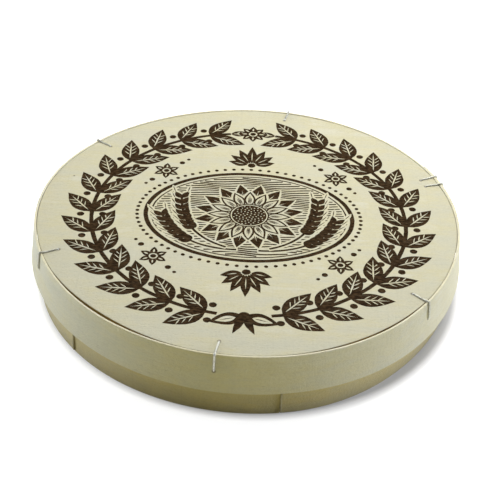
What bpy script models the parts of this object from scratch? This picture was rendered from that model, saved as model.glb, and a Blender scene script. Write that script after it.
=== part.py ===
"""A shut, round box of thin bent wood: a lid on a base, held together by bent wire staples.

Metres, +Z up. The origin is under the middle of the box, and the box stands on z = 0.
Angles are in degrees, counted from +X towards +Y. The front of the box faces -Y.
"""
import math

import bmesh
import bpy
from mathutils import Vector

MM = 0.001

# Overall sizes
BOX_HEIGHT = 39.5 * MM
LID_RADIUS = 120.0 * MM
LID_FLARE = 2.8 * MM
LID_BAND_HEIGHT = 22.5 * MM
BASE_RADIUS = 118.8 * MM
BASE_TAPER = 1.0 * MM

# Wood thicknesses and the gaps between the pieces
VENEER = 1.2 * MM
EDGE_CHAMFER = 0.25 * MM
PANEL_THICKNESS = 2.0 * MM
PANEL_RECESS = 0.3 * MM
PANEL_SIDE_GAP = 0.5 * MM
GAP = 0.3 * MM

# The gap beside the panel opens at two places: (direction, spread to either side, extra width)
PANEL_SLACK = ((232.0, 27.0, 1.3 * MM), (304.0, 27.0, 0.9 * MM))

# Levels that follow from those sizes
LID_FOOT = BOX_HEIGHT - LID_BAND_HEIGHT
PANEL_TOP = BOX_HEIGHT - PANEL_RECESS
PANEL_BOTTOM = PANEL_TOP - PANEL_THICKNESS
BASE_TOP = PANEL_BOTTOM - GAP

# The box is slightly out of round: (lobes, height of a lobe, direction of a lobe)
LOBES = ((2, 0.7 * MM, 39.0), (3, 0.9 * MM, 46.0), (5, 0.2 * MM, 14.0))

# Each band is one strip whose end laps over its start: (start of the lap, end of the strip)
LID_LAP = (-12.0, 30.0)
BASE_LAP = (92.0, 134.0)
LAP_RISE = 0.9 * MM
LAP_END_WIDTH = 0.4

# Staples
WIRE_RADIUS = 0.55 * MM
WIRE_SIDES = 8
WIRE_REACH = WIRE_RADIUS + GAP
LID_STAPLE_ANGLES = (20.2, 24.2, 79.3, 143.0, 202.3, 263.6, 323.3)
LID_STAPLE_TOP_LEG = 10.5 * MM
LID_STAPLE_RISE_START = 3.6 * MM
LID_STAPLE_RISE_END = 2.0 * MM
LID_STAPLE_SIDE_LEG = 10.0 * MM
BASE_STAPLE_ANGLES = (41.0, 101.0, 161.0, 221.0, 280.0, 341.0)
BASE_STAPLE_TOP = 16.0 * MM
BASE_STAPLE_UNDER_LEG = 9.0 * MM

# Notches in the underside that the base staples are pressed into
NOTCH_DEPTH = WIRE_REACH * 2
NOTCH_WIDTH = WIRE_REACH * 2
NOTCH_END_ROOM = 0.6 * MM
NOTCH_OVERRUN = 2.0 * MM

SEGMENTS = 120
CORNER_STEPS = 3

# Edges that turn by more than this many degrees are shaded sharp
WOOD_SHARP_ANGLE = 30.0
WIRE_SHARP_ANGLE = 50.0

# Surface colours, as sRGB values from 0 to 255
PANEL_COLOUR = (214, 208, 173)
LID_BAND_COLOUR = (190, 184, 150)
BASE_COLOUR = (172, 160, 120)
WIRE_COLOUR = (190, 188, 182)

WOOD_ROUGHNESS = 0.65
WIRE_ROUGHNESS = 0.35


def clear_scene():
    for item in list(bpy.data.objects):
        bpy.data.objects.remove(item, do_unlink=True)


def linear(value):
    share = value / 255.0
    return share / 12.92 if share <= 0.04045 else ((share + 0.055) / 1.055) ** 2.4


def make_material(name, colour, roughness, metallic):
    material = bpy.data.materials.new(name)
    material.use_nodes = True
    shader = material.node_tree.nodes["Principled BSDF"]
    shader.inputs["Base Color"].default_value = (*[linear(value) for value in colour], 1.0)
    shader.inputs["Roughness"].default_value = roughness
    shader.inputs["Metallic"].default_value = metallic
    return material


def out_of_round(angle):
    return sum(height * math.cos(math.radians(lobes * (angle - start))) for lobes, height, start in LOBES)


def lap_rise(angle, lap):
    """How far the strip's outer end stands out where it laps over its start."""
    start, end = lap
    along = (angle - start) % 360.0
    length = end - start
    if along <= length:
        return LAP_RISE * along / length
    return max(0.0, 1.0 - (along - length) / LAP_END_WIDTH) * LAP_RISE


def lid_outer_radius(angle, z):
    drop = (BOX_HEIGHT - z) / LID_BAND_HEIGHT
    return LID_RADIUS + LID_FLARE * drop + out_of_round(angle) + lap_rise(angle, LID_LAP)


def lid_inner_radius(angle, z):
    return lid_outer_radius(angle, z) - lap_rise(angle, LID_LAP) - VENEER


def base_outer_radius(angle, z):
    return BASE_RADIUS - BASE_TAPER * z / BOX_HEIGHT + out_of_round(angle) + lap_rise(angle, BASE_LAP)


def base_inner_radius(angle, z):
    return base_outer_radius(angle, z) - lap_rise(angle, BASE_LAP) - VENEER


def ring_angles(lap=None):
    """Even steps round the ring, with two more at the end of the strip so that it ends in a step."""
    angles = [360.0 * step / SEGMENTS for step in range(SEGMENTS)]
    if lap:
        angles = [angle for angle in angles if abs(angle - lap[1]) > LAP_END_WIDTH]
        angles += [lap[1], lap[1] + LAP_END_WIDTH]
    return sorted(angles)


def outline_middle():
    """The middle of the lid's widest outline, which is put over the origin."""
    points = []
    for angle in ring_angles(LID_LAP):
        radius = lid_outer_radius(angle, LID_FOOT)
        points.append((radius * math.cos(math.radians(angle)), radius * math.sin(math.radians(angle))))
    xs, ys = zip(*points)
    return (min(xs) + max(xs)) / 2, (min(ys) + max(ys)) / 2


MIDDLE = outline_middle()


def place(radius, angle, z):
    turn = math.radians(angle)
    return Vector((radius * math.cos(turn) - MIDDLE[0], radius * math.sin(turn) - MIDDLE[1], z))


def sideways(angle):
    """The level direction that runs along the rim at this angle."""
    turn = math.radians(angle)
    return Vector((-math.sin(turn), math.cos(turn), 0.0))


def link_mesh(name, bm):
    bmesh.ops.recalc_face_normals(bm, faces=bm.faces)
    mesh = bpy.data.meshes.new(name)
    bm.to_mesh(mesh)
    bm.free()
    item = bpy.data.objects.new(name, mesh)
    bpy.context.scene.collection.objects.link(item)
    return item


def add_object(name, bm, material, sharp_angle=WOOD_SHARP_ANGLE):
    item = link_mesh(name, bm)
    item.data.shade_smooth()
    item.data.set_sharp_from_angle(angle=math.radians(sharp_angle))
    item.data.materials.append(material)
    return item


def loft(rows, closed_section):
    """Joins rows of points, one row for each corner of the section, into a closed body.

    A closed section makes a ring. An open one makes a disc, whose first and last rows are filled.
    """
    bm = bmesh.new()
    made = [[bm.verts.new(point) for point in row] for row in rows]
    count = len(rows[0])
    last = len(made) if closed_section else len(made) - 1
    for index in range(last):
        row = made[index]
        following = made[(index + 1) % len(made)]
        for step in range(count):
            after = (step + 1) % count
            bm.faces.new((row[step], row[after], following[after], following[step]))
    if not closed_section:
        bm.faces.new(list(reversed(made[0])))
        bm.faces.new(made[-1])
    return bm


def section_rows(angles, corners):
    """corners holds (radius rule, inset, z) for each corner of the section."""
    return [[place(rule(angle, z) - inset, angle, z) for angle in angles] for rule, inset, z in corners]


def make_lid_band(material):
    shoulder = BOX_HEIGHT - EDGE_CHAMFER
    corners = (
        (lid_outer_radius, 0.0, LID_FOOT),
        (lid_outer_radius, 0.0, shoulder),
        (lid_outer_radius, EDGE_CHAMFER, BOX_HEIGHT),
        (lid_inner_radius, -EDGE_CHAMFER, BOX_HEIGHT),
        (lid_inner_radius, 0.0, shoulder),
        (lid_inner_radius, 0.0, LID_FOOT),
    )
    return add_object("lid_band", loft(section_rows(ring_angles(LID_LAP), corners), True), material)


def side_gap(angle):
    gap = PANEL_SIDE_GAP
    for direction, spread, extra in PANEL_SLACK:
        away = abs((angle - direction + 180.0) % 360.0 - 180.0)
        if away < spread:
            gap += extra * math.cos(math.pi / 2 * away / spread) ** 2
    return gap


def panel_radius(angle, _level):
    """The panel's edge is upright, so it is the same at every level."""
    return lid_inner_radius(angle, BOX_HEIGHT) - side_gap(angle)


def make_lid_panel(material):
    corners = (
        (panel_radius, 0.0, PANEL_BOTTOM),
        (panel_radius, 0.0, PANEL_TOP - EDGE_CHAMFER),
        (panel_radius, EDGE_CHAMFER, PANEL_TOP),
    )
    return add_object("lid_panel", loft(section_rows(ring_angles(), corners), False), material)


def make_base_band(material):
    corners = (
        (base_outer_radius, EDGE_CHAMFER, 0.0),
        (base_outer_radius, 0.0, EDGE_CHAMFER),
        (base_outer_radius, 0.0, BASE_TOP),
        (base_inner_radius, 0.0, BASE_TOP),
        (base_inner_radius, 0.0, 0.0),
    )
    return add_object("base_band", loft(section_rows(ring_angles(BASE_LAP), corners), True), material)


def make_base_core(material):
    """The bottom panel and the closed inside, which can't be seen into and is solid."""
    corners = ((base_inner_radius, GAP, 0.0), (base_inner_radius, GAP, BASE_TOP))
    return add_object("base_core", loft(section_rows(ring_angles(), corners), False), material)


def make_notch_cutter():
    """One bar for each base staple, running in from the outside along the underside."""
    bm = bmesh.new()
    for angle in BASE_STAPLE_ANGLES:
        outer = base_outer_radius(angle, 0.0) + NOTCH_OVERRUN
        inner = base_outer_radius(angle, 0.0) - BASE_STAPLE_UNDER_LEG - NOTCH_END_ROOM
        across = sideways(angle) * NOTCH_WIDTH / 2
        made = []
        for z in (-NOTCH_OVERRUN, NOTCH_DEPTH):
            ends = (place(inner, angle, z), place(outer, angle, z))
            corners = (ends[0] - across, ends[1] - across, ends[1] + across, ends[0] + across)
            made.append([bm.verts.new(corner) for corner in corners])
        low, high = made
        bm.faces.new(list(reversed(low)))
        bm.faces.new(high)
        for step in range(4):
            after = (step + 1) % 4
            bm.faces.new((low[step], low[after], high[after], high[step]))
    cutter = link_mesh("notch_cutter", bm)
    cutter.hide_render = True
    cutter.display_type = "WIRE"
    return cutter


def cut(item, cutter):
    modifier = item.modifiers.new("notches", "BOOLEAN")
    modifier.operation = "DIFFERENCE"
    modifier.solver = "EXACT"
    modifier.object = cutter


def corner_arc(radius, z, first, last):
    """Steps round a corner at (radius, z), one wire reach away from it. Turns count from straight up."""
    steps = []
    for step in range(CORNER_STEPS + 1):
        turn = math.radians(first + (last - first) * step / CORNER_STEPS)
        steps.append((radius + WIRE_REACH * math.sin(turn), z + WIRE_REACH * math.cos(turn)))
    return steps


def make_wire(name, angle, route, material):
    """A round wire whose route, as (radius, z), lies in the upright plane at this angle."""
    across = sideways(angle)
    centres = [place(radius, angle, z) for radius, z in route]
    rows = []
    for index, centre in enumerate(centres):
        before = centres[max(index - 1, 0)]
        after = centres[min(index + 1, len(centres) - 1)]
        side = across.cross((after - before).normalized())
        row = []
        for step in range(WIRE_SIDES):
            turn = math.tau * step / WIRE_SIDES
            row.append(centre + (across * math.cos(turn) + side * math.sin(turn)) * WIRE_RADIUS)
        rows.append(row)
    return add_object(name, loft(rows, False), material, WIRE_SHARP_ANGLE)


def make_lid_staple(number, angle, material):
    edge = lid_outer_radius(angle, BOX_HEIGHT)
    end_z = BOX_HEIGHT - LID_STAPLE_SIDE_LEG
    route = [
        (edge - LID_STAPLE_TOP_LEG, PANEL_TOP + WIRE_REACH),
        (edge - LID_STAPLE_RISE_START, PANEL_TOP + WIRE_REACH),
        (edge - LID_STAPLE_RISE_END, BOX_HEIGHT + WIRE_REACH),
    ]
    route += corner_arc(edge, BOX_HEIGHT, 0.0, 90.0)
    route.append((lid_outer_radius(angle, end_z) + WIRE_REACH, end_z))
    return make_wire(f"lid_staple_{number}", angle, route, material)


def make_base_staple(number, angle, material):
    foot = base_outer_radius(angle, 0.0)
    route = [(foot + WIRE_REACH, BASE_STAPLE_TOP)]
    route += corner_arc(foot, NOTCH_DEPTH, 90.0, 180.0)
    route.append((foot - BASE_STAPLE_UNDER_LEG, NOTCH_DEPTH - WIRE_REACH))
    return make_wire(f"base_staple_{number}", angle, route, material)


def main():
    clear_scene()
    make_lid_panel(make_material("panel_wood", PANEL_COLOUR, WOOD_ROUGHNESS, 0.0))
    make_lid_band(make_material("lid_wood", LID_BAND_COLOUR, WOOD_ROUGHNESS, 0.0))
    base_band = make_base_band(make_material("base_wood", BASE_COLOUR, WOOD_ROUGHNESS, 0.0))
    base_core = make_base_core(make_material("core_wood", BASE_COLOUR, WOOD_ROUGHNESS, 0.0))
    cutter = make_notch_cutter()
    cut(base_band, cutter)
    cut(base_core, cutter)
    for number, angle in enumerate(LID_STAPLE_ANGLES, start=1):
        wire = make_material(f"lid_wire_{number}", WIRE_COLOUR, WIRE_ROUGHNESS, 1.0)
        make_lid_staple(number, angle, wire)
    for number, angle in enumerate(BASE_STAPLE_ANGLES, start=1):
        wire = make_material(f"base_wire_{number}", WIRE_COLOUR, WIRE_ROUGHNESS, 1.0)
        make_base_staple(number, angle, wire)


main()
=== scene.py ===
"""The looks of a shut, round box of thin bent poplar wood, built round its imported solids.

Metres, +Z up. Angles are in degrees, counted from +X towards +Y. The front of the box faces -Y.
The print is drawn in millimetres from the lid's middle.
"""
import math
import random

import bmesh
import bpy
from mathutils import Matrix, Vector, geometry


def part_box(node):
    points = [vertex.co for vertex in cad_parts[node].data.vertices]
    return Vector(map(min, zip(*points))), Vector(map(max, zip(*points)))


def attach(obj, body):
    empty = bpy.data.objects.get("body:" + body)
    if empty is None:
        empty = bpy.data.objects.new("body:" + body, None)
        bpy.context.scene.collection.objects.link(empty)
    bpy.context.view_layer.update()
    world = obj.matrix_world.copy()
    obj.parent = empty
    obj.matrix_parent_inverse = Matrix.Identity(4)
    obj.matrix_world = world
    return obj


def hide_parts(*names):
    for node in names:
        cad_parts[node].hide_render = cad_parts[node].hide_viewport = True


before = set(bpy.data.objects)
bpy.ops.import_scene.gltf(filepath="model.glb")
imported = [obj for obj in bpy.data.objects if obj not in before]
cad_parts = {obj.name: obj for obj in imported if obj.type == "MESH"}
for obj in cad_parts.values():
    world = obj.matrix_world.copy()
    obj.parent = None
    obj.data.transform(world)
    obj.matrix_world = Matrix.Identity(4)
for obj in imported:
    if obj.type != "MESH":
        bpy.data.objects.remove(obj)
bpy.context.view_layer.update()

MM = 0.001

# Levels read from the imported solids
LID_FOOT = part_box("lid_band")[0].z
BOX_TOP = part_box("lid_band")[1].z
PANEL_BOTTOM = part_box("lid_panel")[0].z
PANEL_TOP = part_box("lid_panel")[1].z
BASE_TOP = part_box("base_band")[1].z

# Radii and rules that the solids follow too. A lobe is (how many go round, height, direction of the first)
LID_RADIUS = 120.0 * MM
LID_FLARE = 2.8 * MM
BASE_RADIUS = 118.8 * MM
BASE_TAPER = 1.0 * MM
VENEER = 1.2 * MM
GAP = 0.3 * MM
LOBES = ((2, 0.7 * MM, 39.0), (3, 0.9 * MM, 46.0), (5, 0.2 * MM, 14.0))
OUTLINE_STEPS = 720

# The strips' laps: (where the strip starts to rise over its own beginning, where it ends)
LID_LAP = (-12.0, 30.0)
BASE_LAP = (92.0, 134.0)
LAP_RISE = 0.9 * MM
LAP_END_WIDTH = 0.15

# The gap round the lid's panel, wider at two places, and the base's foot, drawn in on one side:
# (direction, half of the spread, size)
PANEL_SIDE_GAP = 0.22 * MM
PANEL_SLACK = ((232.0, 27.0, 1.5 * MM), (304.0, 30.0, 0.95 * MM))
BASE_PINCH = (318.0, 38.0, 1.8 * MM)

# Small unevenness of sawn and cut wood. A wave is (how many go round, what its height is divided by)
EDGE_ROUND = 0.22 * MM
SKIN = 0.03 * MM
RIM_WAVE = 0.05 * MM
FACE_WAVE = 0.06 * MM
WAVES = ((7, 1.6), (13, 2.2), (29, 2.8), (53, 3.6))
WAVE_SHIFT = 1.7
PANEL_WAVE = 0.04 * MM
PANEL_SINK = 0.08 * MM
PANEL_FACE = PANEL_TOP - PANEL_SINK

# Staples
WIRE_RADIUS = 0.55 * MM
LID_STAPLE_ANGLES = (20.2, 24.2, 79.3, 143.0, 202.3, 263.6, 323.3)
LID_STAPLE_LEANS = (0.3, -0.2, 0.4, -0.3, -0.5, 0.3, 0.5)
LID_STAPLE_TOP_LEG = 10.5 * MM
LID_STAPLE_SIDE_LEG = 10.0 * MM
BASE_STAPLE_ANGLES = (41.0, 101.0, 161.0, 221.0, 280.0, 341.0)
BASE_STAPLE_TOP = 16.0 * MM
BASE_STAPLE_UNDER_LEG = 9.0 * MM
END_DEPTH = 0.9 * MM
NOTCH_DEPTH = 1.7 * MM
NOTCH_ROOM = 0.08 * MM
NOTCH_OVERRUN = 2.0 * MM


# Shape rules

def out_of_round(angle):
    return sum(height * math.cos(math.radians(lobes * (angle - start))) for lobes, height, start in LOBES)


def lap_rise(angle, lap):
    start, end = lap
    along = (angle - start) % 360.0
    length = end - start
    if along <= length:
        return LAP_RISE * along / length
    return max(0.0, 1.0 - (along - length) / LAP_END_WIDTH) * LAP_RISE


def lid_outer(angle, z):
    drop = (BOX_TOP - z) / (BOX_TOP - LID_FOOT)
    return LID_RADIUS + LID_FLARE * drop + out_of_round(angle) + lap_rise(angle, LID_LAP) - SKIN


def lid_inner(angle, z):
    return lid_outer(angle, z) - lap_rise(angle, LID_LAP) - VENEER


def swell(angle, direction, spread, height):
    """A smooth swelling round one direction."""
    away = abs((angle - direction + 180.0) % 360.0 - 180.0)
    return height * math.cos(math.pi / 2 * away / spread) ** 2 if away < spread else 0.0


def base_outer(angle, z):
    pinch = swell(angle, *BASE_PINCH) * (1.0 - z / BOX_TOP)
    return (BASE_RADIUS - BASE_TAPER * z / BOX_TOP + out_of_round(angle) + lap_rise(angle, BASE_LAP)
            - SKIN - pinch)


def base_inner(angle, z):
    return base_outer(angle, z) - lap_rise(angle, BASE_LAP) - VENEER


def panel_edge(angle):
    gap = PANEL_SIDE_GAP + sum(swell(angle, *slack) for slack in PANEL_SLACK)
    return lid_inner(angle, BOX_TOP) - gap


def outline_middle():
    """The middle of the lid's widest outline, which is over the origin."""
    points = []
    for step in range(OUTLINE_STEPS):
        angle = 360.0 * step / OUTLINE_STEPS
        radius = lid_outer(angle, LID_FOOT)
        points.append((radius * math.cos(math.radians(angle)), radius * math.sin(math.radians(angle))))
    xs, ys = zip(*points)
    return (min(xs) + max(xs)) / 2, (min(ys) + max(ys)) / 2


MIDDLE = outline_middle()


def place(radius, angle, z):
    turn = math.radians(angle)
    return Vector((radius * math.cos(turn) - MIDDLE[0], radius * math.sin(turn) - MIDDLE[1], z))


def sideways(angle):
    turn = math.radians(angle)
    return Vector((-math.sin(turn), math.cos(turn), 0.0))


def wave(angle, seed, size):
    """A small unevenness that runs round the rim and closes on itself."""
    turn = math.radians(angle)
    total = sum(math.sin(count * turn + seed * count * WAVE_SHIFT) / weight for count, weight in WAVES)
    return total * size


def curve(start, corner, stop, share):
    """A point, or one coordinate of it, on the short curve that cuts a corner."""
    return start * (1 - share) ** 2 + corner * 2 * share * (1 - share) + stop * share ** 2


# Colours. STUDIO_LEVEL is the brightness that falls on the lid's top

STUDIO_LEVEL = 1.25


def linear(value):
    share = value / 255.0
    return share / 12.92 if share <= 0.04045 else ((share + 0.055) / 1.055) ** 2.4


def seen(red, green, blue):
    """The colour of a surface that the studio light turns into this sRGB colour on the lid's top."""
    return tuple(linear(value) / STUDIO_LEVEL for value in (red, green, blue)) + (1.0,)


def plain(red, green, blue):
    return (linear(red), linear(green), linear(blue), 1.0)


def darker(colour, share):
    return tuple(part * share for part in colour[:3]) + (1.0,)


# Node trees

class Nodes:
    """Small helpers that build a node tree, one node to a call."""

    def __init__(self, tree):
        self.nodes = tree.nodes
        self.links = tree.links

    def new(self, kind, **values):
        node = self.nodes.new(kind)
        for key, value in values.items():
            setattr(node, key, value)
        return node

    def feed(self, socket, value):
        if isinstance(value, bpy.types.NodeSocket):
            self.links.new(value, socket)
        else:
            socket.default_value = value

    def calculate(self, operation, first, second=0.0):
        node = self.new("ShaderNodeMath", operation=operation)
        self.feed(node.inputs[0], first)
        self.feed(node.inputs[1], second)
        return node.outputs[0]

    def total(self, parts):
        """The weighted sum of (value, weight) pairs."""
        result = 0.0
        for value, weight in parts:
            result = self.calculate("ADD", self.calculate("MULTIPLY", value, weight), result)
        return result

    def span(self, value, low, high, new_low=0.0, new_high=1.0):
        node = self.new("ShaderNodeMapRange", clamp=True)
        self.feed(node.inputs["Value"], value)
        node.inputs["From Min"].default_value = low
        node.inputs["From Max"].default_value = high
        node.inputs["To Min"].default_value = new_low
        node.inputs["To Max"].default_value = new_high
        return node.outputs["Result"]

    def ramp(self, value, stops):
        node = self.new("ShaderNodeValToRGB")
        self.feed(node.inputs["Fac"], value)
        elements = node.color_ramp.elements
        for index, (position, colour) in enumerate(stops):
            element = elements[index] if index < 2 else elements.new(position)
            element.position = position
            element.color = colour
        return node.outputs["Color"]

    def mix(self, share, first, second):
        node = self.new("ShaderNodeMix", data_type="RGBA")
        self.feed(node.inputs["Factor"], share)
        self.feed(node.inputs[6], first)
        self.feed(node.inputs[7], second)
        return node.outputs[2]

    def split(self, vector):
        node = self.new("ShaderNodeSeparateXYZ")
        self.feed(node.inputs[0], vector)
        return node.outputs

    def join(self, x, y, z):
        node = self.new("ShaderNodeCombineXYZ")
        for socket, value in zip(node.inputs, (x, y, z)):
            self.feed(socket, value)
        return node.outputs[0]

    def vector(self, operation, first, second):
        node = self.new("ShaderNodeVectorMath", operation=operation)
        self.feed(node.inputs[0], first)
        self.feed(node.inputs[1], second)
        return node.outputs["Value"] if operation in ("DOT_PRODUCT", "DISTANCE") else node.outputs["Vector"]

    def noise(self, vector, stretch, detail, rough, warp=0.0):
        """Noise with this many features to the metre along each axis."""
        node = self.new("ShaderNodeTexNoise")
        self.feed(node.inputs["Vector"], self.vector("MULTIPLY", vector, stretch))
        node.inputs["Scale"].default_value = 1.0
        node.inputs["Detail"].default_value = detail
        node.inputs["Roughness"].default_value = rough
        node.inputs["Distortion"].default_value = warp
        return node.outputs["Fac"]


class Paint(Nodes):
    """One node material."""

    def __init__(self, name):
        self.material = bpy.data.materials.new(name)
        self.material.use_nodes = True
        super().__init__(self.material.node_tree)
        self.shader = self.nodes["Principled BSDF"]

    def set(self, name, value):
        self.feed(self.shader.inputs[name], value)

    def object_place(self):
        return self.new("ShaderNodeTexCoord").outputs["Object"]

    def bent_place(self, strip_end):
        """Along the bent strip from its end, up it, and through it. The seam is at the strip's end."""
        turn = math.radians(strip_end - 180.0)
        here = self.vector("ADD", self.object_place(), (MIDDLE[0], MIDDLE[1], 0.0))
        ahead = self.vector("DOT_PRODUCT", here, (math.cos(turn), math.sin(turn), 0.0))
        aside = self.vector("DOT_PRODUCT", here, (-math.sin(turn), math.cos(turn), 0.0))
        along = self.calculate("MULTIPLY", self.calculate("ARCTAN2", aside, ahead), LID_RADIUS)
        squares = [(self.calculate("POWER", part, 2.0), 1.0) for part in (ahead, aside)]
        outward = self.calculate("SQRT", self.total(squares))
        return self.join(along, self.split(here)[2], outward)

    def bump(self, height, depth):
        node = self.new("ShaderNodeBump")
        node.inputs["Strength"].default_value = 1.0
        node.inputs["Distance"].default_value = depth
        self.feed(node.inputs["Height"], height)
        self.set("Normal", node.outputs["Normal"])


# Stage: camera, floor and light

# The photo's camera: focal length in pixels of the 500 pixel frame, distance in metres, turns in degrees
FRAME_PIXELS = 500
SENSOR = 36.0
FOCAL_PIXELS = 1161.0
CAMERA_DISTANCE = 0.66
CAMERA_ELEVATION = 35.03
CAMERA_PITCH = 36.76
CAMERA_YAW = 0.16
CAMERA_ROLL = 2.95

# The floor: its tones, the warm tone that it throws back, and a glow that is dimmed round the box's foot,
# in a ring about FOOT_MIDDLE, which paints a shadow there. A noise is (stretch, detail, roughness,
# distortion)
FLOOR_SIZE = 6.0
FLOOR_CLOUD = ((3.0, 3.0, 3.0), 3.0, 0.5)
FLOOR_TONES = ((0.6, 0.6, 0.6, 1.0), (0.64, 0.64, 0.64, 1.0))
BOUNCE_TONE = (0.96, 0.84, 0.32, 1.0)
FLOOR_ROUGHNESS = 0.9
FLOOR_GLOSS = 0.1
FLOOR_GLOW = 0.82
FLOOR_GLOW_COLOUR = (1.0, 1.0, 0.98, 1.0)
FOOT_MIDDLE = (2.5 * MM, 0.0)
PAINTED_FOOT_SHADOW = (118.0 * MM, 124.5 * MM, 0.15, 1.0)

# Soft glows of the studio tent: (direction, cosine where the glow starts, colour)
GLOWS = (
    ((-0.93, 0.34, 0.12), 0.85, (6.0, 6.5, 8.1)),
    ((0.99, 0.1, 0.15), 0.85, (5.1, 5.55, 7.3)),
    ((0.05, 0.2, 0.97), 0.5, (0.28, 0.28, 0.28)),
)
# Two soft boxes: (name, place, size, power, colour)
SOFT_BOXES = (
    ("right_box", (0.18, 0.15, 0.45), 0.3, 1.85, (1.0, 1.0, 1.0)),
    ("left_box", (-0.15, 0.16, 0.45), 0.3, 0.8, (1.0, 0.97, 0.86)),
)


def make_camera():
    data = bpy.data.cameras.new("camera")
    data.sensor_width = SENSOR
    data.lens = FOCAL_PIXELS / FRAME_PIXELS * SENSOR
    item = bpy.data.objects.new("camera", data)
    bpy.context.scene.collection.objects.link(item)
    aim = Vector((-MIDDLE[0], -MIDDLE[1], BOX_TOP))
    rise = math.radians(CAMERA_ELEVATION)
    spot = aim + Vector((0.0, -math.cos(rise), math.sin(rise))) * CAMERA_DISTANCE
    pitch, yaw, roll = (math.radians(turn) for turn in (CAMERA_PITCH, CAMERA_YAW, CAMERA_ROLL))
    forward = Vector((math.sin(yaw) * math.cos(pitch), math.cos(yaw) * math.cos(pitch), -math.sin(pitch)))
    right = Vector((math.cos(yaw), -math.sin(yaw), 0.0))
    up = right.cross(forward)
    side = right * math.cos(roll) + up * math.sin(roll)
    top = -right * math.sin(roll) + up * math.cos(roll)
    item.matrix_world = Matrix.Translation(spot) @ Matrix((side, top, -forward)).transposed().to_4x4()
    bpy.context.scene.camera = item


def floor_paint():
    """Neutral to the camera, and warm in the light that it throws back on the wood."""
    paint = Paint("floor_paint")
    cloud = paint.noise(paint.object_place(), *FLOOR_CLOUD)
    pale = paint.ramp(cloud, tuple(zip((0.0, 1.0), FLOOR_TONES)))
    bounced = paint.new("ShaderNodeLightPath").outputs["Is Diffuse Ray"]
    paint.set("Base Color", paint.mix(bounced, pale, BOUNCE_TONE))
    paint.set("Roughness", FLOOR_ROUGHNESS)
    paint.set("Specular IOR Level", FLOOR_GLOSS)
    # The glow dims in a ring round the box's foot: a painted shadow on the floor
    middle = (FOOT_MIDDLE[0] - MIDDLE[0], FOOT_MIDDLE[1] - MIDDLE[1], 0.0)
    away = paint.vector("DISTANCE", paint.object_place(), middle)
    outside_foot_shadow = paint.span(away, *PAINTED_FOOT_SHADOW)
    glow = paint.span(bounced, 0.0, 1.0, FLOOR_GLOW, 0.0)
    paint.set("Emission Color", FLOOR_GLOW_COLOUR)
    paint.set("Emission Strength", paint.calculate("MULTIPLY", outside_foot_shadow, glow))
    return paint.material


def make_floor():
    bm = bmesh.new()
    bmesh.ops.create_grid(bm, x_segments=1, y_segments=1, size=FLOOR_SIZE)
    mesh = bpy.data.meshes.new("floor")
    bm.to_mesh(mesh)
    bm.free()
    mesh.materials.append(floor_paint())
    item = bpy.data.objects.new("floor", mesh)
    bpy.context.scene.collection.objects.link(item)


def make_world():
    """A studio tent that glows softly from a few directions."""
    world = bpy.data.worlds.new("studio")
    bpy.context.scene.world = world
    world.use_nodes = True
    tent = Nodes(world.node_tree)
    where = tent.new("ShaderNodeTexCoord").outputs["Generated"]
    light = (0.0, 0.0, 0.0)
    for direction, start, colour in GLOWS:
        towards = tent.vector("DOT_PRODUCT", where, tuple(Vector(direction).normalized()))
        light = tent.vector("ADD", tent.vector("MULTIPLY", tent.span(towards, start, 1.0), colour), light)
    tent.feed(tent.nodes["Background"].inputs["Color"], light)


def make_soft_boxes():
    for name, place_at, size, power, colour in SOFT_BOXES:
        data = bpy.data.lights.new(name, "AREA")
        data.shape = "DISK"
        data.size = size
        data.energy = power
        data.color = colour
        item = bpy.data.objects.new(name, data)
        bpy.context.scene.collection.objects.link(item)
        item.location = place_at
        item.rotation_euler = (-item.location).to_track_quat("-Z", "Y").to_euler()


# Surfaces

# Four tones to each wood, from dark to pale
PANEL_TONES = (seen(209, 205, 176), seen(213, 207, 173), seen(215, 207, 165), seen(219, 214, 185))
LID_TONES = (seen(230, 230, 212), seen(235, 233, 211), seen(237, 233, 203), seen(241, 239, 217))
BASE_TONES = (seen(221, 211, 167), seen(227, 217, 171), seen(231, 218, 164), seen(236, 226, 181))
CUT_TONES = (seen(236, 230, 196), seen(240, 233, 198), seen(242, 233, 190), seen(246, 239, 208))
# The last wood is painted shade: a dark brown for faces seen only down the gap round the lid's panel
GAP_SHADE_TONES = (seen(156, 124, 62), seen(164, 131, 66), seen(170, 134, 64), seen(178, 144, 76))

# The grain's noises, with their stretch along, up and through the wood
GRAIN = {
    "broad": ((9.0, 50.0, 50.0), 3.0, 0.5, 0.4),
    "mottle": ((55.0, 95.0, 95.0), 3.0, 0.6),
    "streak": ((16.0, 420.0, 420.0), 3.0, 0.55, 0.3),
    "fibre": ((70.0, 1700.0, 1700.0), 4.0, 0.65),
    "pores": ((260.0, 2600.0, 2600.0), 2.0, 0.5),
    "checks": ((900.0, 22.0, 22.0), 3.0, 0.6),
    "fuzz": ((750.0, 950.0, 950.0), 3.0, 0.7),
}
# What mixes the four tones, and where on that mix each tone lies
TONE_WEIGHTS = (("broad", 0.4), ("mottle", 0.4), ("streak", 0.2))
TONE_STOPS = (0.4, 0.48, 0.54, 0.62)
# Tints laid over the tones: (noise, its span and the strengths there, number of the tone, share of it)
GRAIN_TINTS = (
    ("fuzz", (0.3, 0.5, 0.28, 0.0), 3, 1.0),
    ("fuzz", (0.5, 0.75, 0.0, 0.4), 1, 0.78),
    ("fibre", (0.5, 0.78, 0.0, 0.34), 1, 0.8),
    ("pores", (0.64, 0.76, 0.0, 0.5), 0, 0.6),
    ("checks", (0.58, 0.74, 0.0, 0.18), 0, 0.75),
)
RELIEF_WEIGHTS = (("fibre", 0.25), ("fuzz", 0.5), ("streak", 0.15), ("checks", 0.1))
WOOD_RELIEF = 0.7 * MM
WOOD_ROUGHNESS = (0.3, 0.8, 0.55, 0.7)
WOOD_GLOSS = 0.3
WOOD_SHEEN = 0.1
CUT_GLOSS = 0.2
SHEEN_ROUGHNESS = 0.7
SHEEN_TINT = (0.95, 0.98, 1.0, 1.0)
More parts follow.
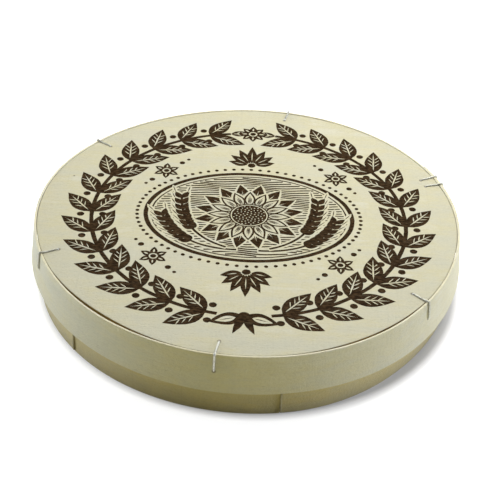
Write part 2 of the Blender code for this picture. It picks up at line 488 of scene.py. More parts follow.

# Painted shade near the foot, and small round marks
FOOT_SHADE = seen(132, 115, 70)
FOOT_SHADE_STRENGTH = 0.3
DARK_MARK = seen(66, 50, 32)
PALE_MARK = seen(252, 248, 226)
MARK_STRENGTH = 0.8
MARK_CORE = 0.35

# The lid's ink
INK_SOLID = seen(36, 23, 8)
INK_THIN = seen(86, 66, 42)
INK_WEAR = ((380.0, 900.0, 900.0), 4.0, 0.7)
INK_WEAR_SPAN = (0.4, 0.7)
INK_COVER = (0.58, 0.8, 1.0, 0.86)
INK_GLOSS = 0.03

# Wires: (dark tone, light tone, grime, how metallic)
BRIGHT_WIRE = (plain(182, 181, 168), plain(208, 207, 192), plain(112, 106, 88), 0.85)
# The base's wires: a darker, duller copy of the staple steel, painted shade for their dark reflections near
# the floor
SHADED_WIRE = (plain(140, 132, 100), plain(165, 156, 122), plain(100, 90, 62), 0.3)
WIRE_FILM = ((160.0, 160.0, 160.0), 3.0, 0.5)
WIRE_FILM_STOPS = (0.35, 0.65)
WIRE_GRIME = ((700.0, 700.0, 700.0), 2.0, 0.5)
WIRE_GRIME_SPAN = (0.5, 0.72, 0.0, 0.45)
WIRE_ROUGHNESS = (0.3, 0.7, 0.44, 0.6)
WIRE_RELIEF = 0.02 * MM


def wood(name, where_rule, tones, layers=(), gloss=WOOD_GLOSS, sheen=WOOD_SHEEN):
    """Pale poplar with its grain along the first coordinate. Each layer changes the colour in turn."""
    paint = Paint(name)
    where = where_rule(paint)
    grain = {kind: paint.noise(where, *shape) for kind, shape in GRAIN.items()}
    tone = paint.total((grain[kind], weight) for kind, weight in TONE_WEIGHTS)
    colour = paint.ramp(tone, tuple(zip(TONE_STOPS, tones)))
    for kind, span, number, share in GRAIN_TINTS:
        colour = paint.mix(paint.span(grain[kind], *span), colour, darker(tones[number], share))
    for layer in layers:
        colour = layer(paint, colour, where, grain["fibre"])
    paint.set("Base Color", colour)
    paint.set("Roughness", paint.span(grain["fibre"], *WOOD_ROUGHNESS))
    paint.set("Specular IOR Level", gloss)
    paint.set("Sheen Weight", sheen)
    paint.set("Sheen Roughness", SHEEN_ROUGHNESS)
    paint.set("Sheen Tint", SHEEN_TINT)
    paint.bump(paint.total((grain[kind], weight) for kind, weight in RELIEF_WEIGHTS), WOOD_RELIEF)
    return paint.material


def spots(marks, mark_colour):
    """Small round marks at (point, reach)."""
    def layer(paint, colour, _where, _fibre):
        for point, reach in marks:
            near = paint.vector("DISTANCE", paint.object_place(), point)
            strength = paint.span(near, reach * MARK_CORE, reach, MARK_STRENGTH, 0.0)
            colour = paint.mix(strength, colour, mark_colour)
        return colour
    return layer


def foot_shade(paint, colour, _where, _fibre):
    """Painted shade: the wood's colour darkens towards the surface that it stands on."""
    level = paint.split(paint.object_place())[2]
    return paint.mix(paint.span(level, 0.0, LID_FOOT, FOOT_SHADE_STRENGTH, 0.0), colour, FOOT_SHADE)


def ink(paint, colour, where, fibre):
    """Brown print that has sunk into the fibres, thinner where the wood took less of it."""
    wear = paint.noise(where, *INK_WEAR)
    solid = paint.mix(paint.span(wear, *INK_WEAR_SPAN), INK_SOLID, INK_THIN)
    return paint.mix(paint.span(fibre, *INK_COVER), colour, solid)


def flat(paint):
    return paint.object_place()


def bent(strip_end):
    return lambda paint: paint.bent_place(strip_end)


def steel(name, dark, light, grimy, metallic):
    """Drawn wire with a dull film."""
    paint = Paint(name)
    where = paint.object_place()
    film = paint.noise(where, *WIRE_FILM)
    grime = paint.noise(where, *WIRE_GRIME)
    colour = paint.ramp(film, tuple(zip(WIRE_FILM_STOPS, (dark, light))))
    paint.set("Base Color", paint.mix(paint.span(grime, *WIRE_GRIME_SPAN), colour, grimy))
    paint.set("Roughness", paint.span(film, *WIRE_ROUGHNESS))
    paint.set("Metallic", metallic)
    paint.bump(grime, WIRE_RELIEF)
    return paint.material


# Mesh helpers

# Angles in degrees past which an edge is drawn sharp
WOOD_SHARP = 32.0
WIRE_SHARP = 50.0


def add_tube(bm, rings):
    """A closed solid through rings of corners, with a face over each end."""
    rows = [[bm.verts.new(corner) for corner in ring] for ring in rings]
    for row, following in zip(rows, rows[1:]):
        for step in range(len(row)):
            after = (step + 1) % len(row)
            bm.faces.new((row[step], row[after], following[after], following[step]))
    bm.faces.new(list(reversed(rows[0])))
    bm.faces.new(rows[-1])


def finish_mesh(name, bm, materials, sharp_angle):
    bmesh.ops.recalc_face_normals(bm, faces=bm.faces)
    mesh = bpy.data.meshes.new(name)
    bm.to_mesh(mesh)
    bm.free()
    mesh.shade_smooth()
    mesh.set_sharp_from_angle(angle=math.radians(sharp_angle))
    for material in materials:
        mesh.materials.append(material)
    item = bpy.data.objects.new(name, mesh)
    bpy.context.scene.collection.objects.link(item)
    return item


def add_piece(item, node):
    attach(item, "root")
    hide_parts(node)


# Bent strips

STRIP_STEPS = 480
CUT_FACE_TILT = 0.6
FACE_WOOD, CUT_WOOD = range(2)

# Seeds of the waves, and the shares of the height at which the outer face has its waves
RIM_SEED = 1
FOOT_SEED = 2
LID_FACE_SEED = 3
LID_FACE_LEVELS = (0.3, 0.6, 0.85)
BASE_FACE_SEED = 5
BASE_FACE_LEVELS = (0.2, 0.4, 0.7)

# The fine groove between the two layers of a lap, seen on the rim: its place as a share of the veneer
PLY_JOINT = 0.55
PLY_GROOVE = 0.35 * MM
PLY_GROOVE_HALF = 0.12 * MM


def strip_angles(lap):
    """Even steps round the ring, from just past the strip's end to that end."""
    start = lap[1] + LAP_END_WIDTH
    steps = [start + (360.0 - LAP_END_WIDTH) * step / STRIP_STEPS for step in range(STRIP_STEPS)]
    return steps + [lap[1] + 360.0]


def make_strip(name, lap, section, face_wood, cut_wood):
    """A bent strip as one closed ring. section(angle) gives its corners as (radius, z)."""
    bm = bmesh.new()
    rows = []
    for angle in strip_angles(lap):
        rows.append([bm.verts.new(place(radius, angle, z)) for radius, z in section(angle)])
    for index, row in enumerate(rows):
        following = rows[(index + 1) % len(rows)]
        for step in range(len(row)):
            after = (step + 1) % len(row)
            bm.faces.new((row[step], following[step], following[after], row[after]))
    bmesh.ops.recalc_face_normals(bm, faces=bm.faces)
    for face in bm.faces:
        face.material_index = CUT_WOOD if face.normal.z > CUT_FACE_TILT else FACE_WOOD
    return finish_mesh(name, bm, (face_wood, cut_wood), WOOD_SHARP)


def lid_section(angle):
    top = BOX_TOP - RIM_WAVE * 2 + wave(angle, RIM_SEED, RIM_WAVE)
    foot = LID_FOOT + RIM_WAVE * 2 + wave(angle, FOOT_SEED, RIM_WAVE)
    outer = lid_outer(angle, BOX_TOP)
    inner = lid_inner(angle, BOX_TOP)
    joint = inner + VENEER * PLY_JOINT
    groove = PLY_GROOVE * lap_rise(angle, LID_LAP) / LAP_RISE + SKIN
    corners = [(lid_outer(angle, foot) - EDGE_ROUND, foot), (lid_outer(angle, foot), foot + EDGE_ROUND)]
    for share in LID_FACE_LEVELS:
        level = foot + (top - foot) * share
        ripple = wave(angle, LID_FACE_SEED + share, FACE_WAVE)
        corners.append((lid_outer(angle, level) + ripple - FACE_WAVE, level))
    corners += [
        (outer, top - EDGE_ROUND),
        (outer - EDGE_ROUND, top),
        (joint + PLY_GROOVE_HALF, top),
        (joint, top - groove),
        (joint - PLY_GROOVE_HALF, top),
        (inner + EDGE_ROUND, top),
        (inner, top - EDGE_ROUND),
        (lid_inner(angle, LID_FOOT), foot),
    ]
    return corners


def base_section(angle):
    outer = base_outer(angle, 0.0)
    corners = [(outer - EDGE_ROUND, 0.0), (outer, EDGE_ROUND)]
    for share in BASE_FACE_LEVELS:
        level = BASE_TOP * share
        ripple = wave(angle, BASE_FACE_SEED + share, FACE_WAVE)
        corners.append((base_outer(angle, level) + ripple - FACE_WAVE, level))
    corners += [
        (base_outer(angle, BASE_TOP), BASE_TOP),
        (base_inner(angle, BASE_TOP), BASE_TOP),
        (base_inner(angle, 0.0), 0.0),
    ]
    return corners


# Bottom panel and notches

BOTTOM_STEPS = 240


def make_bottom(material):
    """The bottom panel and the closed inside, as one solid with an eased lower edge."""
    bm = bmesh.new()
    angles = [360.0 * step / BOTTOM_STEPS for step in range(BOTTOM_STEPS)]
    levels = ((EDGE_ROUND, 0.0), (0.0, EDGE_ROUND), (0.0, BASE_TOP))
    add_tube(bm, [[place(base_inner(angle, z) - GAP - inset, angle, z) for angle in angles]
                  for inset, z in levels])
    return finish_mesh("bottom_panel", bm, (material,), WOOD_SHARP)


def make_notch_cutter():
    """The bars that the base staples lie in, along the underside."""
    bm = bmesh.new()
    for angle in BASE_STAPLE_ANGLES:
        outer = base_outer(angle, 0.0)
        across = sideways(angle) * (WIRE_RADIUS + NOTCH_ROOM)
        rings = []
        for radius in (outer - BASE_STAPLE_UNDER_LEG - NOTCH_ROOM, outer + NOTCH_OVERRUN):
            foot = place(radius, angle, -NOTCH_OVERRUN)
            roof = place(radius, angle, NOTCH_DEPTH)
            rings.append((foot - across, foot + across, roof + across, roof - across))
        add_tube(bm, rings)
    return finish_mesh("notch_cutter", bm, (), WOOD_SHARP)


def cut(item, cutter):
    modifier = item.modifiers.new("notches", "BOOLEAN")
    modifier.operation = "DIFFERENCE"
    modifier.solver = "EXACT"
    modifier.object = cutter
    graph = bpy.context.evaluated_depsgraph_get()
    graph.update()
    mesh = bpy.data.meshes.new_from_object(item.evaluated_get(graph))
    item.modifiers.clear()
    item.data = mesh


# The print on the lid: sizes in millimetres, outlines counter-clockwise from the lid's middle

FINE_LINE = 0.6
DISC_STEPS = 20
LEAF_STEPS = 9
LEAF_BELLY = 0.8
HALO = 1.2

# The wreath. A berry is (distance from the stalk, degrees back from its leaf, radius, steps)
WREATH_RADIUS = 89.0
WREATH_OPENING = 9.0
WREATH_JOINTS = 13
WREATH_FIRST_JOINT = 0.3
WREATH_LEAN = 38.0
STALK_WIDTH = 2.4
STALK_STEPS = 60
BERRY = (6.2, 1.4, 2.1, 14)
LEAF_OFFSET = 0.8
LEAF_SIZE = (23.5, 11.0)
LAST_LEAF_SIZE = (13.0, 6.4)

# Lines in a leaf, as shares of its length, and a side vein's length as a share of the leaf's width
MIDRIB_START = 0.1
MIDRIB_LENGTH = 0.78
MIDRIB_WIDTH = FINE_LINE * 1.5
VEIN_STARTS = (0.27, 0.43, 0.58)
VEIN_LENGTH = 0.46
VEIN_LEAN = 40.0
VEIN_STEPS = 4

# The bow: sizes are (length, width), a hole or fold is (distance from the knot, length, width)
BOW_END_HEADINGS = (248.0, 292.0)
BOW_END_SIZE = (15.0, 4.2)
BOW_LOOP_HEADINGS = (197.0, -17.0)
BOW_LOOP_SIZE = (19.0, 9.6)
BOW_LOOP_STEPS = 12
BOW_HOLE = (4.4, 11.0, 4.4)
BOW_FOLD = (5.4, 8.0, FINE_LINE)
BOW_KNOT = 3.3

# A floret, in shares of its size: (distance from its middle, length, width), and the radii of its eye
FLORET_PETAL = (0.16, 0.84, 0.52)
FLORET_SLIT = (0.4, 0.38, 0.12)
FLORET_SLIT_STEPS = 4
FLORET_EYE = (0.3, 0.2)

# A palmette: (distance from its middle, length of the longest, how much shorter each next one is, width)
PALMETTE_SIDE_BLADES = 3
PALMETTE_TURN = 25.0
PALMETTE_BLADE = (2.6, 18.5, 2.2, 5.8)
PALMETTE_SLIT = (5.0, 10.0, 1.4, FINE_LINE)
PALMETTE_SLIT_STEPS = 5
PALMETTE_EYE = 2.4

# The oval's rings: (inset, whether it is ink), and the beads round it
OVAL_SIZE = (60.0, 44.0)
OVAL_RINGS = ((0.0, True), (2.6, False), (4.0, True), (4.9, False))
OVAL_STEPS = 120
BEADS = 76
BEAD_OFFSET = 3.6
BEAD_RADIUS = 1.15
BEAD_STEPS = 12

# Hatching in the oval
HATCH_INSET = 5.5
HATCH_PITCH = 2.1
HATCH_WAVE = 0.75
HATCH_WAVE_LENGTH = 5.2
HATCH_WAVE_SHIFT = 0.55
HATCH_WIDTH = 0.95
HATCH_WIDENING = 0.25
HATCH_LEAST_POINTS = 4

# The flower: rings of petals as (distance from its middle, length, width, shift in petals, whether dark)
SUN_PETALS = 16
SUN_RINGS = ((11.0, 20.5, 8.6, 0.5, True), (9.5, 14.5, 6.8, 0.0, False))
SUN_DISCS = ((11.4, True), (10.5, False), (9.9, True))
SUN_DISC_STEPS = 40
# A light petal's bare inside: (distance from its root, what it is shorter by, what it is narrower by)
PETAL_INSIDE = (1.2, 3.0, 2.3)
# A petal's lines: distance from its root, spread and lean to each side, and length as shares of the petal
PETAL_LINE_START = 1.8
PETAL_LINE_SPREAD = 3.0
PETAL_LINE_LEAN = 2.0
PETAL_LINE_LENGTH = 0.62
PETAL_LINE_SHORTENING = 0.14
PETAL_LINE_STEPS = 5
SEEDS = 64
SEED_TURN = 137.508
SEED_SPREAD = 1.14
SEED_RADIUS = 0.4
SEED_STEPS = 8

# Wheat: each stalk as (root, bend, tip) on the right side, and the kernels and awns along its upper part
WHEAT_STALKS = (
    ((6.0, -33.0), (38.0, -34.0), (49.5, -2.0)),
    ((12.0, -31.0), (38.0, -21.0), (39.5, 17.0)),
)
WHEAT_STEPS = 24
WHEAT_STALK_WIDTH = 1.5
EAR_START = 11
EAR_PITCH = 2
KERNEL_LEAN = 26.0
KERNEL_OFFSET = 0.6
KERNEL_SIZE = (7.4, 3.9)
KERNEL_STEPS = 7
AWN_START = 7.0
AWN_LENGTH = 6.5
AWN_STEPS = 4

# Ornaments between the wreath and the oval: a floret is (petals, size),
# a dot is (distance from the lid's middle, degrees from its floret, radius, steps)
TOP_FLORET = (8, 9.0)
PALMETTE_PLACE = 52.5
CORNER_ANGLES = (40.0, 140.0, 220.0, 320.0)
CORNER_RADIUS = 66.0
CORNER_FLORET = (6, 8.2)
CORNER_DOTS = ((66.5, 11.0, 1.7, 14), (67.5, 15.5, 1.1, 12))


class Print:
    """Outlines of ink and of bare wood, each laid over the ones before it."""

    def __init__(self):
        self.outlines = []
        self.is_ink = []

    def add(self, outline, is_ink):
        self.outlines.append(outline)
        self.is_ink.append(is_ink)

    def ink(self, outline):
        self.add(outline, True)

    def bare(self, outline):
        self.add(outline, False)


def polar(radius, angle, x=0.0, y=0.0):
    turn = math.radians(angle)
    return (x + radius * math.cos(turn), y + radius * math.sin(turn))


def oval(x, y, half_width, half_height, steps):
    turns = [math.tau * step / steps for step in range(steps)]
    return [(x + half_width * math.cos(turn), y + half_height * math.sin(turn)) for turn in turns]


def disc(x, y, radius, steps=DISC_STEPS):
    return oval(x, y, radius, radius, steps)


def leaf(root, heading, length, width, steps=LEAF_STEPS):
    """A pointed leaf from its root, widest a little before its middle. A narrow one is a vein."""
    turn = math.radians(heading)
    ahead = (math.cos(turn), math.sin(turn))
    sides = []
    for sign in (-1, 1):
        side = []
        for step in range(steps + 1):
            share = step / steps
            half = sign * width / 2 * math.sin(math.pi * share ** LEAF_BELLY)
            side.append((root[0] + ahead[0] * length * share - ahead[1] * half,
                         root[1] + ahead[1] * length * share + ahead[0] * half))
        sides.append(side)
    return sides[0] + sides[1][-2:0:-1]


def blade(x, y, heading, start, length, width, steps=LEAF_STEPS):
    """A leaf that points away from a middle and starts some way out from it."""
    return leaf(polar(start, heading, x, y), heading, length, width, steps)


def line(points, width):
    """A line of even width with square ends."""
    left, right = [], []
    for index, (x, y) in enumerate(points):
        before = points[max(index - 1, 0)]
        after = points[min(index + 1, len(points) - 1)]
        dx, dy = after[0] - before[0], after[1] - before[1]
        share = width / 2 / math.hypot(dx, dy)
        left.append((x - dy * share, y + dx * share))
        right.append((x + dy * share, y - dx * share))
    return right + left[::-1]


def grow(outline, reach):
    """The outline pushed outwards."""
    pushed = []
    for index, (x, y) in enumerate(outline):
        before = outline[index - 1]
        after = outline[(index + 1) % len(outline)]
        dx, dy = after[0] - before[0], after[1] - before[1]
        share = reach / math.hypot(dx, dy)
        pushed.append((x + dy * share, y - dx * share))
    return pushed


def veined_leaf(sheet, root, heading, size):
    length, width = size
    sheet.ink(leaf(root, heading, length, width))
    sheet.bare(blade(*root, heading, length * MIDRIB_START, length * MIDRIB_LENGTH, MIDRIB_WIDTH))
    for share in VEIN_STARTS:
        start = polar(length * share, heading, *root)
        for side in (1, -1):
            lean = heading + VEIN_LEAN * side
            sheet.bare(blade(*start, lean, FINE_LINE, width * VEIN_LENGTH, FINE_LINE, VEIN_STEPS))


def branch(sheet, first, last):
    """Half of the wreath: a stalk along the rim with pairs of leaves, and berries at their roots."""
    way = 1 if last > first else -1
    angles = [first + (last - first) * step / STALK_STEPS for step in range(STALK_STEPS + 1)]
    sheet.ink(line([polar(WREATH_RADIUS, angle) for angle in angles], STALK_WIDTH))
    away, back, berry_radius, berry_steps = BERRY
    for joint in range(WREATH_JOINTS):
        angle = first + (last - first) * (joint + WREATH_FIRST_JOINT) / WREATH_JOINTS
        heading = angle + 90 * way
        for side in (1, -1):
            middle = polar(WREATH_RADIUS + away * side, angle - back * way)
            sheet.ink(disc(*middle, berry_radius, berry_steps))
            root = polar(WREATH_RADIUS + LEAF_OFFSET * side, angle)
            veined_leaf(sheet, root, heading - WREATH_LEAN * side * way, LEAF_SIZE)
    veined_leaf(sheet, polar(WREATH_RADIUS, last), last + 90 * way, LAST_LEAF_SIZE)


def bow(sheet, x, y):
    """A tied ribbon where the two branches start."""
    for heading in BOW_END_HEADINGS:
        sheet.ink(leaf((x, y), heading, *BOW_END_SIZE))
    for heading in BOW_LOOP_HEADINGS:
        sheet.ink(leaf((x, y), heading, *BOW_LOOP_SIZE, BOW_LOOP_STEPS))
        sheet.bare(blade(x, y, heading, *BOW_HOLE))
        sheet.ink(blade(x, y, heading, *BOW_FOLD))
    sheet.ink(disc(x, y, BOW_KNOT))


def floret(sheet, x, y, petals, size):
    for petal in range(petals):
        heading = 360.0 * petal / petals + 90.0
        sheet.ink(blade(x, y, heading, *(size * share for share in FLORET_PETAL)))
        slit = [size * share for share in FLORET_SLIT]
        sheet.bare(blade(x, y, heading, *slit, FLORET_SLIT_STEPS))
    sheet.bare(disc(x, y, size * FLORET_EYE[0]))
    sheet.ink(disc(x, y, size * FLORET_EYE[1]))


def palmette(sheet, x, y, heading):
    """A fan of slim leaves."""
    start, length, shortening, width = PALMETTE_BLADE
    slit_start, slit_length, slit_shortening, slit_width = PALMETTE_SLIT
    for number in range(-PALMETTE_SIDE_BLADES, PALMETTE_SIDE_BLADES + 1):
        turn = heading + number * PALMETTE_TURN
        sheet.ink(blade(x, y, turn, start, length - abs(number) * shortening, width))
        slit = (slit_start, slit_length - abs(number) * slit_shortening, slit_width)
        sheet.bare(blade(x, y, turn, *slit, PALMETTE_SLIT_STEPS))
    sheet.ink(disc(x, y, PALMETTE_EYE))


def hatching(sheet):
    """Fine waved lines that fill the oval, like those of an engraving."""
    half_width, half_height = OVAL_SIZE[0] - HATCH_INSET, OVAL_SIZE[1] - HATCH_INSET
    rows = int(half_height / HATCH_PITCH)
    for row in range(-rows, rows + 1):
        points = []
        for x in range(-int(half_width), int(half_width) + 1):
            y = row * HATCH_PITCH + HATCH_WAVE * math.sin(x / HATCH_WAVE_LENGTH + row * HATCH_WAVE_SHIFT)
            if (x / half_width) ** 2 + (y / half_height) ** 2 < 1.0:
                points.append((float(x), y))
        if len(points) >= HATCH_LEAST_POINTS:
            sheet.ink(line(points, HATCH_WIDTH + HATCH_WIDENING * abs(row) / rows))


def petal_ring(sheet, root, length, width, shift, is_dark):
    """One ring of petals with lines along each. A dark petal is solid and its lines are bare."""
    angles = [360.0 * (petal + shift) / SUN_PETALS for petal in range(SUN_PETALS)]
    inside_start, shorter, narrower = PETAL_INSIDE
    for angle in angles:
        sheet.bare(grow(blade(0.0, 0.0, angle, root, length, width), HALO))
    for angle in angles:
        sheet.ink(blade(0.0, 0.0, angle, root, length, width))
        if not is_dark:
            sheet.bare(blade(0.0, 0.0, angle, root + inside_start, length - shorter, width - narrower))
        for side in (-1, 0, 1):
            start = polar(root + PETAL_LINE_START, angle + PETAL_LINE_SPREAD * side)
            heading = angle + PETAL_LINE_LEAN * side
            reach = length * (PETAL_LINE_LENGTH - PETAL_LINE_SHORTENING * abs(side))
            sheet.add(leaf(start, heading, reach, FINE_LINE, PETAL_LINE_STEPS), not is_dark)


def sunflower(sheet):
    for ring in SUN_RINGS:
        petal_ring(sheet, *ring)
    for radius, is_ink in SUN_DISCS:
        sheet.add(disc(0.0, 0.0, radius, SUN_DISC_STEPS), is_ink)
    for seed in range(SEEDS):
        middle = polar(SEED_SPREAD * math.sqrt(seed + 0.5), SEED_TURN * seed)
        sheet.bare(disc(*middle, SEED_RADIUS, SEED_STEPS))


def wheat(sheet, mirror, root, bend, tip):
    """An ear on a curved stalk. mirror is 1 on the right and -1 on the left."""
    route = []
    for step in range(WHEAT_STEPS + 1):
        x, y = (curve(*ends, step / WHEAT_STEPS) for ends in zip(root, bend, tip))
        route.append((x * mirror, y))
    shapes = [line(route, WHEAT_STALK_WIDTH)]
    for index in range(EAR_START, WHEAT_STEPS + 1, EAR_PITCH):
        ahead = route[min(index + 1, WHEAT_STEPS)]
        back = route[index - 1]
        heading = math.degrees(math.atan2(ahead[1] - back[1], ahead[0] - back[0]))
        for lean in (-KERNEL_LEAN, KERNEL_LEAN):
            start = polar(KERNEL_OFFSET, heading + lean * 2, *route[index])
            shapes.append(leaf(start, heading + lean, *KERNEL_SIZE, KERNEL_STEPS))
            tip_of_kernel = polar(AWN_START, heading + lean, *start)
            shapes.append(leaf(tip_of_kernel, heading + lean * 0.5, AWN_LENGTH, FINE_LINE, AWN_STEPS))
    for shape in shapes:
        sheet.bare(grow(shape, HALO))
    for shape in shapes:
        sheet.ink(shape)


def medallion(sheet):
    for inset, is_ink in OVAL_RINGS:
        sheet.add(oval(0.0, 0.0, OVAL_SIZE[0] - inset, OVAL_SIZE[1] - inset, OVAL_STEPS), is_ink)
    hatching(sheet)
    for mirror in (1, -1):
        for stalk in WHEAT_STALKS:
            wheat(sheet, mirror, *stalk)
    sunflower(sheet)
    for middle in oval(0.0, 0.0, OVAL_SIZE[0] + BEAD_OFFSET, OVAL_SIZE[1] + BEAD_OFFSET, BEADS):
        sheet.ink(disc(*middle, BEAD_RADIUS, BEAD_STEPS))


def corner_ornament(sheet, angle):
    """A floret with two dots on each side."""
    floret(sheet, *polar(CORNER_RADIUS, angle), *CORNER_FLORET)
    for side in (-1, 1):
        for radius, turn, size, steps in CORNER_DOTS:
            sheet.ink(disc(*polar(radius, angle + turn * side), size, steps))


def design():
    """A leafy wreath round an oval with a flower and wheat, with small ornaments between."""
    sheet = Print()
    branch(sheet, 270.0 - WREATH_OPENING, 90.0 + WREATH_OPENING)
    branch(sheet, -90.0 + WREATH_OPENING, 90.0 - WREATH_OPENING)
    bow(sheet, 0.0, -WREATH_RADIUS)
    floret(sheet, 0.0, WREATH_RADIUS, *TOP_FLORET)
    palmette(sheet, 0.0, PALMETTE_PLACE, 90.0)
    palmette(sheet, 0.0, -PALMETTE_PLACE, 270.0)
    for angle in CORNER_ANGLES:
        corner_ornament(sheet, angle)
    medallion(sheet)
    return sheet


# The lid's panel

PRINT_GRID = 4.0
RIM_STEPS = 360
PANEL_SIDE_TILT = 0.3
PANEL_EASED_TILT = 0.9
BARE, PRINTED, SHADED_SIDE = range(3)

# How far ink creeps, in millimetres, and the share of that across the grain
INK_CREEP = 0.1
ACROSS_GRAIN = 0.6
creep = random.Random(11)

# Ripples of the panel: (length in millimetres, shift), and one slanting across them: (lengths, share)
RIPPLES = ((31.0, 0.6), (23.0, 1.1))
SLANTING_RIPPLE = ((13.0, 47.0), 0.5)

# Settings of the triangulation: keep what is inside the outlines, merge points closer than this
KEEP_INSIDE = 1
MERGE_DISTANCE = 1e-4


def uneven(outline):
    """Ink creeps a little along the fibres, so no printed edge is quite clean."""
    moved = []
    for x, y in outline:
        along = creep.uniform(-INK_CREEP, INK_CREEP)
        across = creep.uniform(-INK_CREEP, INK_CREEP) * ACROSS_GRAIN
        moved.append((x + along, y + across))
    return moved


def panel_level(x, y):
    """The panel's surface is very slightly wavy. x and y are in millimetres from the lid's middle."""
    (x_length, x_shift), (y_length, y_shift) = RIPPLES
    (along, across), share = SLANTING_RIPPLE
    ripple = math.sin(x / x_length + x_shift) * math.sin(y / y_length + y_shift)
    ripple += share * math.sin(x / along + y / across)
    return PANEL_FACE + ripple * PANEL_WAVE


def panel_points():
    """The rim's outline, then the print's outlines, then loose points that carry the waviness."""
    rim = [polar((panel_edge(step) - EDGE_ROUND) / MM, step) for step in range(RIM_STEPS)]
    sheet = design()
    outlines = [rim] + [uneven(outline) for outline in sheet.outlines]
    is_ink = [False] + sheet.is_ink
    reach = min(math.hypot(*point) for point in rim) - PRINT_GRID / 2
    steps = int(reach / PRINT_GRID)
    loose = [(column * PRINT_GRID, row * PRINT_GRID)
             for column in range(-steps, steps + 1) for row in range(-steps, steps + 1)
             if math.hypot(column, row) * PRINT_GRID < reach]
    return outlines, is_ink, loose


def panel_face(outlines, is_ink, loose):
    """The panel's upper face as triangles, each of bare or of printed wood."""
    points, faces = [], []
    for outline in outlines:
        faces.append(list(range(len(points), len(points) + len(outline))))
        points += [Vector(point) for point in outline]
    points += [Vector(point) for point in loose]
    made, _, triangles, _, _, owners = geometry.delaunay_2d_cdt(
        points, [], faces, KEEP_INSIDE, MERGE_DISTANCE, True)
    bm = bmesh.new()
    corners = [bm.verts.new((spot.x * MM - MIDDLE[0], spot.y * MM - MIDDLE[1], panel_level(spot.x, spot.y)))
               for spot in made]
    for triangle, owner in zip(triangles, owners):
        face = bm.faces.new([corners[index] for index in triangle])
        face.material_index = PRINTED if is_ink[max(owner)] else BARE
    return bm


def add_panel_sides(bm):
    """An eased edge, an upright side and the underside."""
    edges = [edge for edge in bm.edges if edge.is_boundary]
    for widening, level in ((EDGE_ROUND, PANEL_FACE - EDGE_ROUND), (0.0, PANEL_BOTTOM)):
        extruded = bmesh.ops.extrude_edge_only(bm, edges=edges)["geom"]
        for vertex in [part for part in extruded if isinstance(part, bmesh.types.BMVert)]:
            away = Vector((vertex.co.x + MIDDLE[0], vertex.co.y + MIDDLE[1]))
            vertex.co.xy += away.normalized() * widening
            vertex.co.z = level
        edges = [part for part in extruded if isinstance(part, bmesh.types.BMEdge)]
    for face in bm.faces:
        face.normal_update()
        # Upright faces get the dark brown wood that is painted shade in the gap
        if abs(face.normal.z) < PANEL_SIDE_TILT:
            face.material_index = SHADED_SIDE
        elif abs(face.normal.z) < PANEL_EASED_TILT:
            face.material_index = BARE
    bmesh.ops.holes_fill(bm, edges=edges, sides=0)


def make_panel(bare_wood, printed_wood, shaded_side_wood):
    bm = panel_face(*panel_points())
    add_panel_sides(bm)
    return finish_mesh("printed_panel", bm, (bare_wood, printed_wood, shaded_side_wood), WOOD_SHARP)


# Wire staples

WIRE_SIDES = 14
PRESSED_IN = 0.12 * MM
WIRE_LIFT = WIRE_RADIUS - PRESSED_IN
STAPLE_BEND = 0.9 * MM
BEND_SHARE = 0.48
BEND_STEPS = 6

# Where a lid staple's upper leg starts and ends its climb to the rim, and the share of its lean at each
LID_STAPLE_RISE_START = 3.6 * MM
LID_STAPLE_RISE_END = 1.6 * MM
RISE_START_LEAN = 0.3
RISE_END_LEAN = 0.1


def bend_end(corner, end):
    """Where the bend at a corner meets the straight wire that leads to this end."""
    away = end - corner
    return corner + away.normalized() * min(STAPLE_BEND, away.length * BEND_SHARE)


def rounded(points):
    """The route with each inner corner turned into a short curve."""
    route = [points[0]]
    for before, corner, after in zip(points, points[1:], points[2:]):
        start, stop = bend_end(corner, before), bend_end(corner, after)
        route += [curve(start, corner, stop, step / BEND_STEPS) for step in range(BEND_STEPS + 1)]
    return route + [points[-1]]


def make_wire(name, points, across, material):
    route = rounded(points)
    turns = [math.tau * step / WIRE_SIDES for step in range(WIRE_SIDES)]
    rings = []
    for index, centre in enumerate(route):
        ahead = (route[min(index + 1, len(route) - 1)] - route[max(index - 1, 0)]).normalized()
        side = across.cross(ahead).normalized()
        other = ahead.cross(side)
        rings.append([centre + (other * math.cos(turn) + side * math.sin(turn)) * WIRE_RADIUS
                      for turn in turns])
    bm = bmesh.new()
    add_tube(bm, rings)
    return finish_mesh(name, bm, (material,), WIRE_SHARP)


def lid_staple_points(angle, lean):
    """From the end that is driven into the panel, over the rim, to the end driven into the band."""
    edge = lid_outer(angle, BOX_TOP)
    low = BOX_TOP - LID_STAPLE_SIDE_LEG
    inner = edge - LID_STAPLE_TOP_LEG
    return [
        place(inner, angle + lean, PANEL_FACE - END_DEPTH),
        place(inner + WIRE_RADIUS, angle + lean, PANEL_FACE + WIRE_LIFT),
        place(edge - LID_STAPLE_RISE_START, angle + lean * RISE_START_LEAN, PANEL_FACE + WIRE_LIFT),
        place(edge - LID_STAPLE_RISE_END, angle + lean * RISE_END_LEAN, BOX_TOP + WIRE_LIFT),
        place(edge + WIRE_LIFT, angle, BOX_TOP + WIRE_LIFT),
        place(lid_outer(angle, low) + WIRE_LIFT, angle, low + WIRE_RADIUS),
        place(lid_outer(angle, low) - END_DEPTH, angle, low),
    ]


def base_staple_points(angle):
    """From the end that is driven into the band, round the foot, into the notch."""
    outer = base_outer(angle, 0.0)
    under = NOTCH_DEPTH - WIRE_RADIUS - NOTCH_ROOM
    return [
        place(base_outer(angle, BASE_STAPLE_TOP) - END_DEPTH, angle, BASE_STAPLE_TOP),
        place(base_outer(angle, BASE_STAPLE_TOP) + WIRE_LIFT, angle, BASE_STAPLE_TOP - WIRE_RADIUS),
        place(outer + WIRE_LIFT, angle, under),
        place(outer - BASE_STAPLE_UNDER_LEG, angle, under),
    ]


# Marks on the wood. A speck is (distance from the middle, angle, reach) and a nick is (angle, drop, reach),
# with distances in millimetres

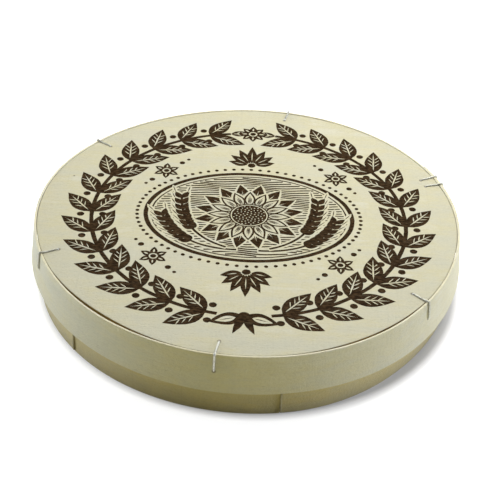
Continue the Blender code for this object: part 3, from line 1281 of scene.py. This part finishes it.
STAPLE_MARK = 1.35 * MM
PANEL_SPECKS = ((109.0, 163.0, 0.8), (88.0, 166.0, 0.6), (104.0, 250.0, 0.8))
BAND_NICKS = ((238.7, 1.6, 1.0), (238.7, 2.4, 0.8))


def panel_marks():
    marks = [(lid_staple_points(angle, lean)[0] + Vector((0.0, 0.0, END_DEPTH)), STAPLE_MARK)
             for angle, lean in zip(LID_STAPLE_ANGLES, LID_STAPLE_LEANS)]
    marks += [(place(radius * MM, angle, PANEL_FACE), reach * MM) for radius, angle, reach in PANEL_SPECKS]
    return marks


def band_marks():
    low = BOX_TOP - LID_STAPLE_SIDE_LEG
    return [(place(lid_outer(angle, low), angle, low), STAPLE_MARK) for angle in LID_STAPLE_ANGLES]


def base_marks():
    return [(place(base_outer(angle, BASE_STAPLE_TOP), angle, BASE_STAPLE_TOP), STAPLE_MARK)
            for angle in BASE_STAPLE_ANGLES]


def nick_marks():
    return [(place(lid_outer(angle, BOX_TOP), angle, BOX_TOP - drop * MM), reach * MM)
            for angle, drop, reach in BAND_NICKS]


# The pieces

def make_lid_panel():
    bare = wood("panel_wood", flat, PANEL_TONES, (spots(panel_marks(), DARK_MARK),))
    printed = wood("panel_print", flat, PANEL_TONES, (ink,), gloss=INK_GLOSS, sheen=0.0)
    # The panel's upright sides get a dark brown: painted shade down the gap
    sides = wood("panel_side_shade", flat, GAP_SHADE_TONES, gloss=CUT_GLOSS, sheen=0.0)
    add_piece(make_panel(bare, printed, sides), "lid_panel")


def make_lid_strip():
    layers = (spots(band_marks(), DARK_MARK), spots(nick_marks(), PALE_MARK))
    face_wood = wood("lid_wood", bent(LID_LAP[1]), LID_TONES, layers)
    cut_wood = wood("lid_edge", bent(LID_LAP[1]), CUT_TONES)
    add_piece(make_strip("lid_strip", LID_LAP, lid_section, face_wood, cut_wood), "lid_band")


def make_base_strip(cutter):
    layers = (foot_shade, spots(base_marks(), DARK_MARK))
    face_wood = wood("base_wood", bent(BASE_LAP[1]), BASE_TONES, layers)
    # The base's top edge, seen only down the gap inside the lid, gets the same dark brown: painted shade
    cut_wood = wood("base_edge_shade", bent(BASE_LAP[1]), GAP_SHADE_TONES, gloss=CUT_GLOSS, sheen=0.0)
    strip = make_strip("base_strip", BASE_LAP, base_section, face_wood, cut_wood)
    cut(strip, cutter)
    add_piece(strip, "base_band")


def make_bottom_panel(cutter):
    bottom = make_bottom(wood("bottom_wood", flat, BASE_TONES))
    cut(bottom, cutter)
    add_piece(bottom, "base_core")


def make_base():
    cutter = make_notch_cutter()
    make_base_strip(cutter)
    make_bottom_panel(cutter)
    bpy.data.objects.remove(cutter, do_unlink=True)


def make_lid_staples():
    material = steel("staple_steel", *BRIGHT_WIRE)
    for number, (angle, lean) in enumerate(zip(LID_STAPLE_ANGLES, LID_STAPLE_LEANS), start=1):
        item = make_wire(f"lid_wire_{number}", lid_staple_points(angle, lean), sideways(angle), material)
        add_piece(item, f"lid_staple_{number}")


def make_base_staples():
    # A darker, duller copy of the staple steel: painted shade on the wires near the floor
    material = steel("shaded_steel", *SHADED_WIRE)
    for number, angle in enumerate(BASE_STAPLE_ANGLES, start=1):
        item = make_wire(f"base_wire_{number}", base_staple_points(angle), sideways(angle), material)
        add_piece(item, f"base_staple_{number}")


def main():
    make_camera()
    make_floor()
    make_world()
    make_soft_boxes()
    make_lid_panel()
    make_lid_strip()
    make_base()
    make_lid_staples()
    make_base_staples()
    bpy.context.scene.view_settings.view_transform = "Standard"


main()
